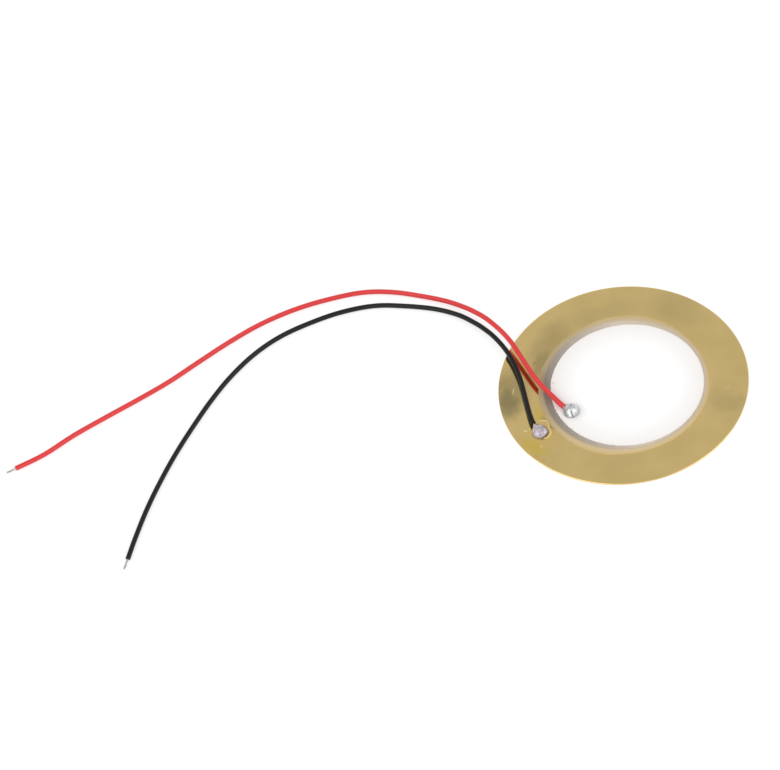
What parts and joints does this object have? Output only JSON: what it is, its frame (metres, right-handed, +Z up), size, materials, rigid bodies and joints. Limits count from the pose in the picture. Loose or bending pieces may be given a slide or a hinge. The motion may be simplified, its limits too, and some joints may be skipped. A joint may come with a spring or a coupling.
{
  "type": "piezo disc",
  "caption": "Flat round piezo element: a silvered ceramic disc glued on a thin brass plate, with a red and a black soldered lead.",
  "frame": {"origin": "centre of the brass plate's underside", "axes": "+Z up, out of the silvered ceramic's face; the leads run towards -X"},
  "size_m": [0.1047, 0.0424, 0.0023],
  "materials": {
    "brass": "rolled, satin",
    "epoxy_adhesive": "cured, glossy",
    "fired_silver": "printed and fired, matt white silver",
    "piezoceramic": "sintered, unglazed",
    "tin_solder": "bright, slightly creased",
    "rosin_flux": "dried, glossy",
    "red_pvc": "extruded, satin",
    "black_pvc": "extruded, satin",
    "tinned_copper": "twisted strands, tinned"
  },
  "bodies": {
    "root": {"brass_plate": "brass", "bond_layer": "epoxy_adhesive", "lower_electrode": "fired_silver", "ceramic_disc": "piezoceramic", "upper_electrode": "fired_silver", "electrode_solder": "tin_solder", "plate_solder": "tin_solder", "flux_residue": "rosin_flux", "red_insulation": "red_pvc", "red_conductor": "tinned_copper", "black_insulation": "black_pvc", "black_conductor": "tinned_copper"}
  },
  "joints": []
}
